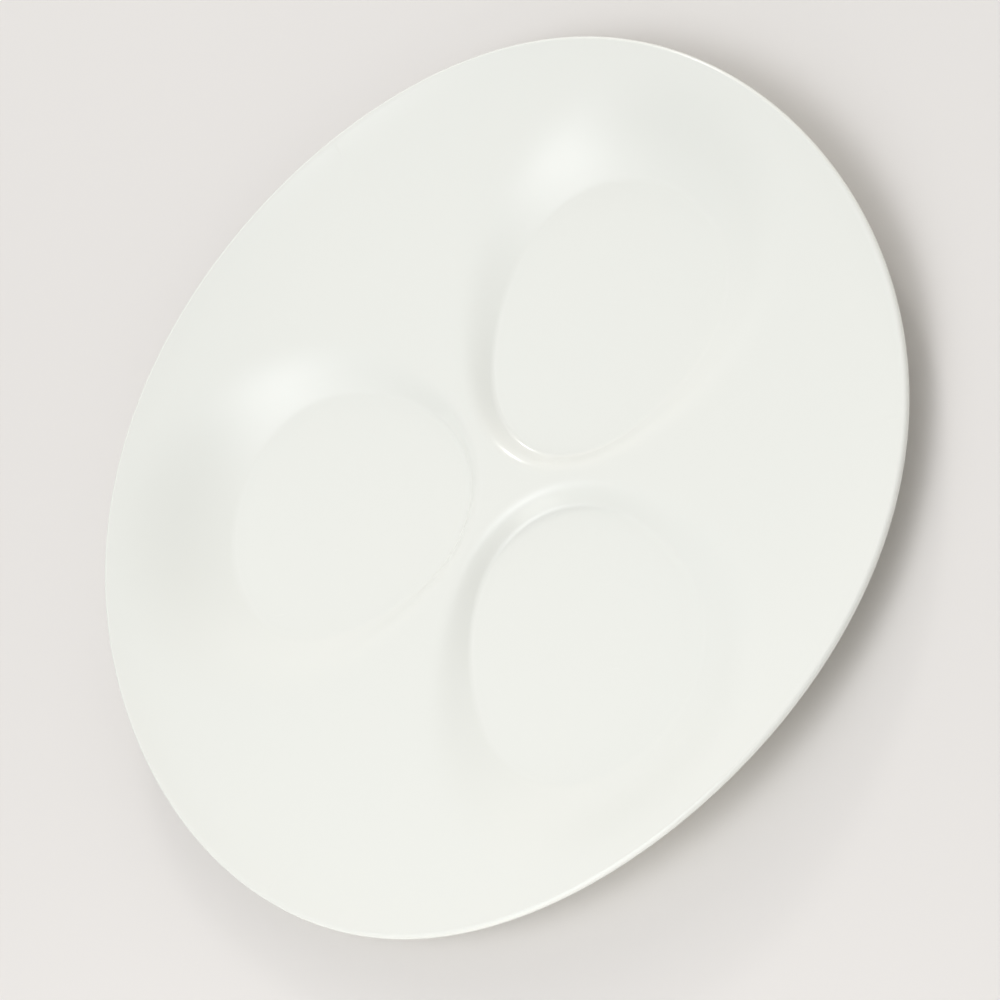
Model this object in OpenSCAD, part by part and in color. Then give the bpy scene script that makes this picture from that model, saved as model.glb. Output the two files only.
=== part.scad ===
// Chip and dip server: one moulded platter with three egg-shaped wells
// around a three-armed ridge, and a gently waving rim.
// Millimetres. +Z is up, the undersides of the wells rest on z = 0 and the
// middle of the platter, where the ridges meet, is on the Z axis.
// The first well lies along +X.

/* [Platter] */
// mean radius of the outermost edge of the rim
rim_radius = 178; // [170:1:200]
// how far the rim draws in at each well and swells between wells
rim_scallop = 1.6; // [0:0.1:3]
// mean height of the rim above the floors of the wells
rim_rise = 18.2; // [14:0.1:24]
// how far the rim waves up at each well and down between wells
rim_wave = 5.4; // [0:0.1:6.5]
// height of the meeting point of the ridges above the floors
hub_rise = 5.6; // [4:0.1:7]
// how late the brim bends up on its way out, as a power of the radius
brim_bow = 4.2; // [2:0.1:6]
// how late the wave starts on its way out, as a power of the radius
wave_bow = 3.1; // [2:0.1:6]
// extra upturn of the very rim between wells, included in its height
rim_curl = 1.1; // [0:0.1:2]
// width of the band that turns up
curl_width = 13.5; // [8:0.5:30]
// thickness of the shell
wall = 3; // [2:0.1:4]

/* [Wells] */
// distance from the middle of the platter to the centre of each floor
well_offset = 74.2; // [73:0.1:76]
// mean radius of each flat floor
floor_radius = 51.5; // [46:0.5:52]
// share of the radius by which a floor is longer than it is wide
floor_stretch = 0.065; // [0:0.001:0.07]
// share of the radius by which a floor bulges outward
floor_bulge = 0.023; // [0:0.001:0.03]
// share of the radius by which a floor narrows towards the middle
floor_taper = 0.034; // [0:0.001:0.04]
// width of a well's wall where it faces the middle of the platter
wall_run_in = 11; // [8:0.1:11.2]
// width of a well's wall where it faces the rim
wall_run_out = 48.4; // [36:0.1:49]
// how late the wall widens on its way round from the middle to the rim
wall_widening = 1.25; // [1:0.05:3]
// width of the curve at the wall's foot where it faces the middle
foot_in = 2.5; // [1:0.1:3]
// width of the curve at the wall's foot where it faces the rim
foot_out = 3.1; // [1:0.1:9]
// share of the wall's width taken by the rounded lip
lip_curve = 0.68; // [0.5:0.01:0.8]

/* [Hidden] */
// number of wells, the angle of one sector, and half of it
wells = 3;
sector = 360 / wells;
half = sector / 2;
// facets along each straight side of a sector, along its rim, and all round
side_facets = 12;
rim_facets = 24;
facets = 2 * side_facets + rim_facets;
// steps up a well's wall, and on from its lip to the sector's border
wall_steps = 8;
brim_steps = 4;
steps = wall_steps + brim_steps;
// strips round the rounded edge of the rim
edge_strips = 4;
// how strongly the steps crowd towards a wall's foot and the border, as a power
crowding = 1.3;
// points on the sectors' borders, and on one whole face
side_points = wells * side_facets;
border_points = 1 + side_points + wells * (rim_facets - 1);
face_points = border_points + wells * facets * steps;

// radius of the ring where the top face meets the rounded edge
function ring(a) = rim_radius - rim_scallop * cos(wells * a) - wall / 2;

// radius of a floor's outline in the direction a from its centre
function outline(a) = floor_radius * (1 + floor_bulge * cos(a)
    + floor_stretch * cos(2 * a) - floor_taper * cos(3 * a));

// a width that grows from in at the middle of the platter to out at the rim
function widened(in, out, a) = in + (out - in) * pow((1 + cos(a)) / 2, wall_widening);

// width of a well's wall in the direction a from its floor's centre, the
// share of it taken by the curve at its foot, and the steepness of its
// straight part if it rose as far as it is wide
function run(a) = widened(wall_run_in, wall_run_out, a);
function foot(a) = widened(foot_in, foot_out, a) / run(a);
function steep(a) = 1 / (1 - foot(a) / 2 - lip_curve / 2);

// rise of a wall, from 0 at its foot to 1 at its lip
function round_over(v) = v * v * v * (1 - v / 2);
function rise(s, a) = s <= 0 ? 0
    : s < foot(a) ? steep(a) * s * s / (2 * foot(a))
    : s < 1 - lip_curve ? steep(a) * (s - foot(a) / 2)
    : s < 1 ? 1 - steep(a) * lip_curve * round_over((1 - s) / lip_curve)
    : 1;

// height of the platter above the floors, as if it had no wells
function curl(r, a) = rim_curl / 2 * (1 - cos(wells * a))
    * pow(max(0, 1 - (rim_radius - r) / curl_width), 2);
function brim(r, a) = hub_rise + curl(r, a)
    + (rim_rise - hub_rise - rim_curl / 2) * pow(r / rim_radius, brim_bow)
    + (rim_wave + rim_curl / 2) * cos(wells * a) * pow(r / rim_radius, wave_bow);
function brim_at(x, y) = brim(norm([x, y]), atan2(y, x));

// slope of the straight part of a wall in the direction a
function slope(a) =
    let (r = outline(a) + run(a) / 3)
    atan(steep(a) * brim_at(well_offset + r * cos(a), r * sin(a)) / run(a));

// how far outside its top side the underside of a wall lies, which keeps
// the shell's thickness the same on the slope
function shift(a) = wall * tan(slope(a) / 2);

// point at the distance d outside the first floor's outline, in the
// direction a from its centre; low is 0 for the top face, 1 for the underside
function spot(a, d, low) =
    let (r = outline(a) + d)
    let (x = well_offset + r * cos(a))
    let (y = r * sin(a))
    let (s = (d - low * shift(a)) / run(a))
    [x, y, (1 - low) * wall + brim_at(x, y) * rise(s, a)];

// direction of the sector's rim corner, seen from the floor's centre
corner = atan2(ring(half) * sin(half), ring(half) * cos(half) - well_offset);

// direction of the border at facet j, counted round from the middle of the
// platter, along one side, the rim and the other side
function rim_angle(j) = (j - side_facets) * sector / rim_facets - half;
function direction(j) =
    j <= side_facets ? -180 + (180 - corner) * j / side_facets
    : j >= facets - side_facets ? 180 - (180 - corner) * (facets - j) / side_facets
    : atan2(ring(rim_angle(j)) * sin(rim_angle(j)),
            ring(rim_angle(j)) * cos(rim_angle(j)) - well_offset);

// distance of the border from the floor's centre, and from its outline
function on_rim(j) = j > side_facets && j < facets - side_facets;
function reach(j) = on_rim(j)
    ? norm([ring(rim_angle(j)) * cos(rim_angle(j)) - well_offset,
            ring(rim_angle(j)) * sin(rim_angle(j))])
    : well_offset * sin(half) / sin(abs(direction(j)) - half);
function gap(j) = reach(j) - outline(direction(j));

// distance from the outline at step i: up the wall, then on to the border
function distance(j, i, low) =
    let (a = direction(j))
    let (start = low * shift(a))
    let (top = min(start + run(a), 0.9 * gap(j)))
    i <= wall_steps ? start + (top - start) * pow(i / wall_steps, crowding)
    : gap(j) - (gap(j) - top) * pow((steps - i) / brim_steps, crowding);

function point(j, i, low) = spot(direction(j), distance(j, i, low), low);

// point turned about the Z axis into sector k
function turned(p, k) = [p.x * cos(k * sector) - p.y * sin(k * sector),
    p.x * sin(k * sector) + p.y * cos(k * sector), p.z];

// all points of one face: the middle, the straight sides between sectors,
// the rim, then the points inside each sector
function face(low) = concat(
    [point(0, steps, low)],
    [for (k = [0 : wells - 1]) for (j = [1 : side_facets])
        turned(point(facets - j, steps, low), k)],
    [for (k = [0 : wells - 1]) for (j = [1 : rim_facets - 1])
        turned(point(side_facets + j, steps, low), k)],
    [for (k = [0 : wells - 1]) for (j = [0 : facets - 1])
        for (i = [0 : steps - 1]) turned(point(j, i, low), k)]);

// number of the border point at facet j of sector k
function border(k, j) = j == 0 ? 0
    : j <= side_facets ? (k + wells - 1) % wells * side_facets + j
    : j < facets - side_facets
        ? side_points + k * (rim_facets - 1) + j - side_facets
    : k * side_facets + facets - j;

// number of the point at facet j and step i of sector k
function number(k, j, i) = i == steps ? border(k, j % facets)
    : border_points + (k * facets + j % facets) * steps + i;

// points of the rounded edge between the two faces, at the c-th rim facet
function edge_point(c, e) =
    let (j = side_facets + c % rim_facets)
    let (a = rim_angle(j))
    let (high = point(j, steps, 0).z)
    let (low = point(j, steps, 1).z)
    let (t = 180 * e / edge_strips)
    let (r = ring(a) + wall / 2 * sin(t))
    turned([r * cos(a), r * sin(a), (high + low + (high - low) * cos(t)) / 2],
        floor(c / rim_facets));
function edge_number(c, e) =
    let (k = floor(c / rim_facets) % wells)
    let (j = side_facets + c % rim_facets)
    e == 0 ? number(k, j, steps)
    : e == edge_strips ? face_points + number(k, j, steps)
    : 2 * face_points + (k * rim_facets + c % rim_facets) * (edge_strips - 1) + e - 1;

// two triangles across the four corners of a patch
function split(p) = [[p[0], p[1], p[2]], [p[0], p[2], p[3]]];

// one moulded shell: brim, ridges and wells in a single thickness
module platter() {
    rim_count = wells * rim_facets;
    top_floors = [for (k = [0 : wells - 1])
        [for (j = [facets - 1 : -1 : 0]) number(k, j, 0)]];
    feet = [for (k = [0 : wells - 1])
        [for (j = [0 : facets - 1]) face_points + number(k, j, 0)]];
    top = [for (k = [0 : wells - 1]) for (j = [0 : facets - 1])
        for (i = [0 : steps - 1]) each split([
            number(k, j, i), number(k, j + 1, i),
            number(k, j + 1, i + 1), number(k, j, i + 1)])];
    underside = [for (t = top) [t[2], t[1], t[0]] + [1, 1, 1] * face_points];
    edge = [for (c = [0 : rim_count - 1]) for (e = [0 : edge_strips - 1])
        each split([
            edge_number(c, e), edge_number(c + 1, e),
            edge_number(c + 1, e + 1), edge_number(c, e + 1)])];
    edge_points = [for (c = [0 : rim_count - 1])
        for (e = [1 : edge_strips - 1]) edge_point(c, e)];
    color([0.94, 0.94, 0.92])
        polyhedron(
            points = concat(face(0), face(1), edge_points),
            faces = concat(top_floors, feet, top, underside, edge),
            convexity = 6);
}

platter();
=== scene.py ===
import math

import bmesh
import bpy
import numpy as np
from mathutils import Matrix, Vector


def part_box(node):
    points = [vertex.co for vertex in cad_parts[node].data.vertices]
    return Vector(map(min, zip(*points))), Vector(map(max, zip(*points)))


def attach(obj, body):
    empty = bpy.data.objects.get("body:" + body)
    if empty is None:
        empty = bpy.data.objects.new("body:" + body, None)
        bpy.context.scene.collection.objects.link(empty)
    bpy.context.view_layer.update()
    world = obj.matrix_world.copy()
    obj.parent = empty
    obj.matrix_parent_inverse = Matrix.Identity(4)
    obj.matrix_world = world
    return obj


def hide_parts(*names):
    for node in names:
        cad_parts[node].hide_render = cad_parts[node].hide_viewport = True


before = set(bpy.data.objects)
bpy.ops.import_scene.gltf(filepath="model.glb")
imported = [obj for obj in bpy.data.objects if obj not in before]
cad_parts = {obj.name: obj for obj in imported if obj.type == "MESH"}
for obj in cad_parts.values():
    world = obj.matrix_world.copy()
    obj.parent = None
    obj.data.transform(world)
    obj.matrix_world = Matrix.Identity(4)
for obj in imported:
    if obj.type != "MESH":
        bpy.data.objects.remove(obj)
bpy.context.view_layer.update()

# ---- driving dimensions, metres; the rim's size comes from the frame ----------

MM = 0.001
WELLS = 3
SECTOR = 2 * math.pi / WELLS
HALF = SECTOR / 2
SIDE_FACETS, RIM_FACETS = 48, 96
FACETS = 2 * SIDE_FACETS + RIM_FACETS
FLOOR_STEPS, WALL_STEPS, BRIM_STEPS, EDGE_STRIPS = 5, 30, 16, 12
MERGE_DISTANCE, SHORTEST_EDGE = 2e-6, 1e-7

rim_scallop = 1.6 * MM
rim_radius = -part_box("platter")[0][0] - rim_scallop
rim_rise = 18.2 * MM
rim_wave = 5.4 * MM
hub_rise = 5.6 * MM
brim_bow, wave_bow = 4.2, 3.1
rim_curl, curl_width = 1.1 * MM, 13.5 * MM
wall = 3 * MM
well_offset = 74.2 * MM
floor_radius = 51.5 * MM
floor_stretch, floor_bulge, floor_taper = 0.065, 0.023, 0.034
wall_run_in, wall_run_out = 11 * MM, 48.4 * MM
foot_in, foot_out = 2.5 * MM, 3.1 * MM
wall_widening = 1.25
lip_curve = 0.68
crowding = 1.3


# ---- the platter's surface ------------------------------------------------------

def ring(a):
    """Radius where the top face meets the rounded edge."""
    return rim_radius - rim_scallop * np.cos(WELLS * a) - wall / 2


def outline(a):
    """Radius of a floor's outline in the direction a from its centre."""
    return floor_radius * (1 + floor_bulge * np.cos(a) + floor_stretch * np.cos(2 * a)
                           - floor_taper * np.cos(3 * a))


def widened(low, high, a):
    """A width that grows from the middle of the platter to the rim."""
    return low + (high - low) * ((1 + np.cos(a)) / 2) ** wall_widening


def run(a):
    """Width of a well's wall."""
    return widened(wall_run_in, wall_run_out, a)


def foot_share(a):
    """Share of a wall's width taken by the curve at its foot."""
    return widened(foot_in, foot_out, a) / run(a)


def steep(a):
    """Steepness of a wall's straight part if it rose as far as it is wide."""
    return 1 / (1 - foot_share(a) / 2 - lip_curve / 2)


def rise(s, a):
    """Rise of a wall, from 0 at its foot to 1 at its lip."""
    s = np.clip(s, 0, 1)
    v = (1 - s) / lip_curve
    foot = steep(a) * s * s / (2 * foot_share(a))
    straight = steep(a) * (s - foot_share(a) / 2)
    lip = 1 - steep(a) * lip_curve * v ** 3 * (1 - v / 2)
    return np.where(s < foot_share(a), foot, np.where(s < 1 - lip_curve, straight, lip))


def brim(x, y):
    """Height of the platter above the floors, as if it had no wells."""
    r, a = np.hypot(x, y), np.arctan2(y, x)
    t, wave = r / rim_radius, np.cos(WELLS * a)
    band = np.maximum(0, 1 - (rim_radius - r) / curl_width)
    return (hub_rise + rim_curl / 2 * (1 - wave) * band ** 2
            + (rim_rise - hub_rise - rim_curl / 2) * t ** brim_bow
            + (rim_wave + rim_curl / 2) * wave * t ** wave_bow)


def shift(a):
    """How far the underside of a wall lies outside its top side."""
    r = outline(a) + run(a) / 3
    slope = np.arctan(steep(a) * brim(well_offset + r * np.cos(a), r * np.sin(a)) / run(a))
    return wall * np.tan(slope / 2)


def spot(a, d, low):
    """Points at the distance d outside the first floor's outline; low is 0 for
    the top face and 1 for the underside."""
    r = outline(a) + d
    x, y = well_offset + r * np.cos(a), r * np.sin(a)
    s = (d - low * shift(a)) / run(a)
    return np.stack([x, y, (1 - low) * wall + brim(x, y) * rise(s, a)], -1)


def border():
    """Direction and distance of a sector's border from its floor's centre."""
    corner = math.atan2(ring(HALF) * math.sin(HALF), ring(HALF) * math.cos(HALF) - well_offset)
    side = -math.pi + (math.pi - corner) * np.arange(SIDE_FACETS + 1) / SIDE_FACETS
    rim = -HALF + SECTOR * np.arange(1, RIM_FACETS) / RIM_FACETS
    x, y = ring(rim) * np.cos(rim) - well_offset, ring(rim) * np.sin(rim)
    directions = np.concatenate([side, np.arctan2(y, x), -side[::-1]])
    side_reach = well_offset * math.sin(HALF) / np.sin(np.abs(side) - HALF)
    reaches = np.concatenate([side_reach, np.hypot(x, y), side_reach[::-1]])
    return directions, reaches


def face_grid(low):
    """One sector's points on the top face (low 0) or the underside (low 1),
    by facet and by step from the floor's outline to the border."""
    a, reach = border()
    gap = reach - outline(a)
    foot = low * shift(a)
    top = np.minimum(foot + run(a), 0.9 * gap)
    up = (np.arange(WALL_STEPS + 1) / WALL_STEPS) ** crowding
    on = 1 - (1 - np.arange(1, BRIM_STEPS + 1) / BRIM_STEPS) ** crowding
    wall_d = foot[:, None] + (top - foot)[:, None] * up
    brim_d = top[:, None] + (gap - top)[:, None] * on
    d = np.concatenate([wall_d, brim_d], 1)
    return spot(a[:, None], d, low)


def turned(points, k):
    """Points turned about the Z axis into sector k."""
    c, s = math.cos(k * SECTOR), math.sin(k * SECTOR)
    return points @ np.array([[c, s, 0], [-s, c, 0], [0, 0, 1]])


class Shell:
    """Collects grids of points as quads."""

    def __init__(self):
        self.points, self.faces = [], []

    def grid(self, p, flip=False):
        rows, columns = p.shape[:2]
        start = len(self.points)
        self.points += p.reshape(-1, 3).tolist()
        for r in range(rows - 1):
            for c in range(columns - 1):
                q = [start + r * columns + c, start + r * columns + c + 1,
                     start + (r + 1) * columns + c + 1, start + (r + 1) * columns + c]
                self.faces.append(q[::-1] if flip else q)


def platter_mesh():
    """Floors and walls on both faces, joined by the half-round rim edge."""
    shell = Shell()
    for low in (0, 1):
        walls = face_grid(low)
        centre = np.array([well_offset, 0, (1 - low) * wall])
        shares = np.arange(FLOOR_STEPS + 1)[None, :, None] / FLOOR_STEPS
        floor = centre + (walls[:, :1] - centre) * shares
        for k in range(WELLS):
            shell.grid(turned(floor, k), flip=bool(low))
            shell.grid(turned(walls, k), flip=bool(low))
    rim = slice(SIDE_FACETS, SIDE_FACETS + RIM_FACETS + 1)
    high, low = face_grid(0)[rim, -1], face_grid(1)[rim, -1]
    turn = np.pi * np.arange(EDGE_STRIPS + 1)[None, :, None] / EDGE_STRIPS
    out = high * [1, 1, 0] / np.linalg.norm(high[:, :2], axis=1)[:, None]
    middle, half = (high + low) / 2, (high - low) / 2
    edge = middle[:, None] + half[:, None] * np.cos(turn) + out[:, None] * wall / 2 * np.sin(turn)
    for k in range(WELLS):
        shell.grid(turned(edge, k))
    mesh = bpy.data.meshes.new("platter_shell")
    mesh.from_pydata(shell.points, [], shell.faces)
    merge_doubles(mesh)
    return mesh


def merge_doubles(mesh):
    """Join the grids where they meet and shade the mesh smooth."""
    bm = bmesh.new()
    bm.from_mesh(mesh)
    bmesh.ops.remove_doubles(bm, verts=bm.verts, dist=MERGE_DISTANCE)
    bmesh.ops.dissolve_degenerate(bm, edges=bm.edges, dist=SHORTEST_EDGE)
    bmesh.ops.recalc_face_normals(bm, faces=bm.faces)
    bm.to_mesh(mesh)
    bm.free()
    mesh.polygons.foreach_set("use_smooth", [True] * len(mesh.polygons))
    mesh.update()


# ---- materials -----------------------------------------------------------------

def link_chain(tree):
    """Short forms for adding and feeding nodes in one node tree; a socket is
    named by its label or, as i0, i1 and so on, by its number."""
    def add(kind, **settings):
        node = tree.nodes.new(kind)
        for key, value in settings.items():
            setattr(node, key, value)
        return node

    def feed(node, **values):
        for key, value in values.items():
            numbered = key[0] == "i" and key[1:].isdigit()
            socket = node.inputs[int(key[1:]) if numbered else key]
            if isinstance(value, bpy.types.NodeSocket):
                tree.links.new(value, socket)
            else:
                socket.default_value = value
        return node
    return add, feed


GLAZE_WARM, GLAZE_COOL = (0.835, 0.843, 0.796), (0.829, 0.841, 0.797)
SCUFF = (0.60, 0.60, 0.58)
GLAZE_ROUGH = (0.17, 0.23)
GLAZE_IOR = 1.52
# noise scales, per metre: features of about 110, 14, 6, 2.4 and 0.4 mm
CLOUDS, GLOSS_PATCHES, SCUFF_PATCHES, PEEL, SPECKS = 9.0, 70.0, 180.0, 420.0, 2600.0
# noise scale, turn in radians and stretch of the two sets of scratches
SCRATCHES, CROSS_SCRATCHES = (60.0, 0.6, 26.0), (48.0, -0.9, 22.0)
BUMP_DEPTH = 0.012 * MM
# heights between which the well floors' scratches and the feet's scuffs fade
USED_FROM, USED_FULL = 3.4 * MM, 3.1 * MM
SCUFFS_FROM, SCUFFS_FULL = 0.9 * MM, 0.1 * MM


def glaze(name):
    """Glossy off-white moulding: faint flow clouding, orange peel, fine
    scratches on what is used and scuffs on what touches the table."""
    material = bpy.data.materials.new(name)
    material.use_nodes = True
    tree = material.node_tree
    add, feed = link_chain(tree)
    shader = tree.nodes["Principled BSDF"]
    place = add("ShaderNodeTexCoord").outputs["Object"]

    def noise(scale, detail, rough=0.5, vector=place):
        node = add("ShaderNodeTexNoise")
        feed(node, Vector=vector, Scale=scale, Detail=detail, Roughness=rough)
        return node.outputs["Fac"]

    def remap(value, low, high, to_low, to_high):
        node = add("ShaderNodeMapRange", clamp=True)
        feed(node, i0=value, i1=low, i2=high, i3=to_low, i4=to_high)
        return node.outputs[0]

    def math_node(operation, a, b):
        return feed(add("ShaderNodeMath", operation=operation), i0=a, i1=b).outputs[0]

    height = feed(add("ShaderNodeSeparateXYZ"), Vector=place).outputs["Z"]
    clouds = noise(CLOUDS, 3.0)
    specks = noise(SPECKS, 1.0)
    peel = noise(PEEL, 2.0)

    def scratch_set(kind, threshold):
        scale, turn, stretch = kind
        lines = feed(add("ShaderNodeMapping"), Vector=place,
                     Rotation=(0.0, 0.0, turn), Scale=(1.0, stretch, 1.0)).outputs[0]
        return remap(noise(scale, 5.0, 0.75, lines), threshold, threshold + 0.06, 0.0, 1.0)

    scratches = math_node("MAXIMUM", scratch_set(SCRATCHES, 0.66),
                          scratch_set(CROSS_SCRATCHES, 0.68))
    used = remap(height, USED_FROM, USED_FULL, 0.0, 1.0)
    foot = math_node("MULTIPLY", remap(height, SCUFFS_FROM, SCUFFS_FULL, 0.0, 1.0),
                     remap(noise(SCUFF_PATCHES, 4.0), 0.35, 0.7, 0.3, 1.0))
    scratched = math_node("MULTIPLY", scratches, remap(used, 0.0, 1.0, 0.25, 1.0))

    tint = add("ShaderNodeMix", data_type="RGBA")
    feed(tint, i0=remap(clouds, 0.3, 0.7, 0.0, 1.0))
    tint.inputs[6].default_value = (*GLAZE_WARM, 1)
    tint.inputs[7].default_value = (*GLAZE_COOL, 1)
    scuffed = add("ShaderNodeMix", data_type="RGBA")
    feed(scuffed, i0=math_node("MULTIPLY", foot, 0.6))
    tree.links.new(tint.outputs[2], scuffed.inputs[6])
    scuffed.inputs[7].default_value = (*SCUFF, 1)
    tree.links.new(scuffed.outputs[2], shader.inputs["Base Color"])

    gloss = remap(noise(GLOSS_PATCHES, 4.0, 0.6), 0.3, 0.7, *GLAZE_ROUGH)
    gloss = math_node("ADD", gloss, math_node("MULTIPLY", scratched, 0.12))
    gloss = math_node("ADD", gloss, math_node("MULTIPLY", foot, 0.3))
    feed(shader, Roughness=gloss, IOR=GLAZE_IOR)

    fine = math_node("ADD", peel, math_node("MULTIPLY", specks, 0.06))
    fine = math_node("SUBTRACT", fine, math_node("MULTIPLY", scratched, 0.3))
    bump = feed(add("ShaderNodeBump"), Strength=1.0, Distance=BUMP_DEPTH, Height=fine)
    tree.links.new(bump.outputs[0], shader.inputs["Normal"])
    return material


platter = bpy.data.objects.new("platter_shell", platter_mesh())
bpy.context.collection.objects.link(platter)
platter.data.materials.append(glaze("platter"))
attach(platter, "root")
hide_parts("platter")

# ---- camera --------------------------------------------------------------------

VIEW_AZIMUTH, VIEW_ELEVATION, VIEW_ROLL = map(math.radians, (149.25, 50.72, 60.79))
VIEW_DISTANCE = 10.651 * rim_radius
LENS, SENSOR, CLIP_END = 180, 36, 50
VIEW_AIM = Vector((0.02045 * rim_radius, 0.02043 * rim_radius, wall))

back = Vector((math.cos(VIEW_ELEVATION) * math.cos(VIEW_AZIMUTH),
               math.cos(VIEW_ELEVATION) * math.sin(VIEW_AZIMUTH), math.sin(VIEW_ELEVATION)))
level = Vector((0, 0, 1)).cross(back).normalized()
upright = back.cross(level)
up = upright * math.cos(VIEW_ROLL) + level * math.sin(VIEW_ROLL)
right = up.cross(back)
camera = bpy.data.objects.new("camera", bpy.data.cameras.new("camera"))
bpy.context.collection.objects.link(camera)
camera.matrix_world = Matrix.Translation(VIEW_AIM + back * VIEW_DISTANCE) @ Matrix(
    (right, up, back)).transposed().to_4x4()
camera.data.lens, camera.data.sensor_width = LENS, SENSOR
camera.data.clip_end = CLIP_END
bpy.context.scene.camera = camera
bpy.context.scene.view_settings.view_transform = "Standard"


# ---- stage ---------------------------------------------------------------------

FLOOR_SIZE = 40
FLOOR_ROUGH, FLOOR_SPECULAR = 0.85, 0.2
FLOOR_COLOUR = (0.770, 0.748, 0.725)
KEY_COLOUR = (0.98, 1.0, 1.025)
TENT_COLOUR = (1.0, 0.98, 0.957)
BACKDROP = (0.81, 0.79, 0.775)
TENT = 0.242
# each glow: direction along the view's right, up and back, sharpness, strength
KEY_GLOWS = [((-0.72, -0.18, 0.67), 13.3, 2.10),
             ((-0.72, -0.18, 0.67), 40.0, 1.12),
             ((-0.60, -0.02, 0.80), 20.0, 1.53),
             ((-0.86, 0.10, 0.50), 20.0, 0.27)]
TENT_GLOWS = [((0.03, 1.00, -0.04), 6.0, 1.41),
              ((-0.58, 0.73, -0.37), 6.0, 0.56),
              ((0.64, 0.08, 0.76), 6.0, 0.51)]


def towards(x, y, z):
    """A direction given along the view's right, up and back."""
    return (right * x + up * y + back * z).normalized()


def studio_floor():
    """A wide, pale, matt floor."""
    bpy.ops.mesh.primitive_plane_add(size=FLOOR_SIZE)
    floor = bpy.context.object
    floor.name = "floor"
    material = bpy.data.materials.new("floor")
    material.use_nodes = True
    shader = material.node_tree.nodes["Principled BSDF"]
    shader.inputs["Base Color"].default_value = (*FLOOR_COLOUR, 1)
    shader.inputs["Roughness"].default_value = FLOOR_ROUGH
    shader.inputs["Specular IOR Level"].default_value = FLOOR_SPECULAR
    floor.data.materials.append(material)


def studio_sky():
    """A white tent with broad glows, and a plain colour where the camera
    sees past the floor."""
    world = bpy.data.worlds.new("studio")
    bpy.context.scene.world = world
    world.use_nodes = True
    tree = world.node_tree
    add, feed = link_chain(tree)
    ray = add("ShaderNodeTexCoord").outputs["Generated"]

    def tinted(glows, even, colour):
        """The sum of some glows and an even part, in one colour."""
        total = even
        for direction, sharpness, strength in glows:
            dot = feed(add("ShaderNodeVectorMath", operation="DOT_PRODUCT"),
                       i0=ray, i1=towards(*direction)).outputs["Value"]
            power = feed(add("ShaderNodeMath", operation="MULTIPLY_ADD"),
                         i0=dot, i1=sharpness, i2=-sharpness).outputs[0]
            glow = feed(add("ShaderNodeMath", operation="EXPONENT"), i0=power).outputs[0]
            total = feed(add("ShaderNodeMath", operation="MULTIPLY_ADD"),
                         i0=glow, i1=strength, i2=total).outputs[0]
        return feed(add("ShaderNodeVectorMath", operation="SCALE"),
                    i0=colour, Scale=total).outputs[0]

    light = feed(add("ShaderNodeVectorMath", operation="ADD"),
                 i0=tinted(KEY_GLOWS, 0.0, KEY_COLOUR),
                 i1=tinted(TENT_GLOWS, TENT, TENT_COLOUR)).outputs[0]
    shown = add("ShaderNodeMix", data_type="RGBA")
    tree.links.new(add("ShaderNodeLightPath").outputs["Is Camera Ray"], shown.inputs[0])
    tree.links.new(light, shown.inputs[6])
    shown.inputs[7].default_value = (*BACKDROP, 1)
    tree.links.new(shown.outputs[2], tree.nodes["Background"].inputs["Color"])


def softbox(name, direction, distance, size, power):
    """A round area light that faces the platter."""
    light = bpy.data.lights.new(name, "AREA")
    light.shape, light.size, light.energy = "DISK", size, power
    light.color = TENT_COLOUR
    lamp = bpy.data.objects.new(name, light)
    bpy.context.collection.objects.link(lamp)
    lamp.location = towards(*direction) * distance
    lamp.rotation_euler = towards(*direction).to_track_quat("Z", "Y").to_euler()


studio_floor()
studio_sky()
softbox("low front light", (-0.30, -0.80, 0.52), 0.7, 0.6, 1.27)
softbox("far lamp", (-0.35, 0.937, -0.005), 1.6, 0.26, 3.0)
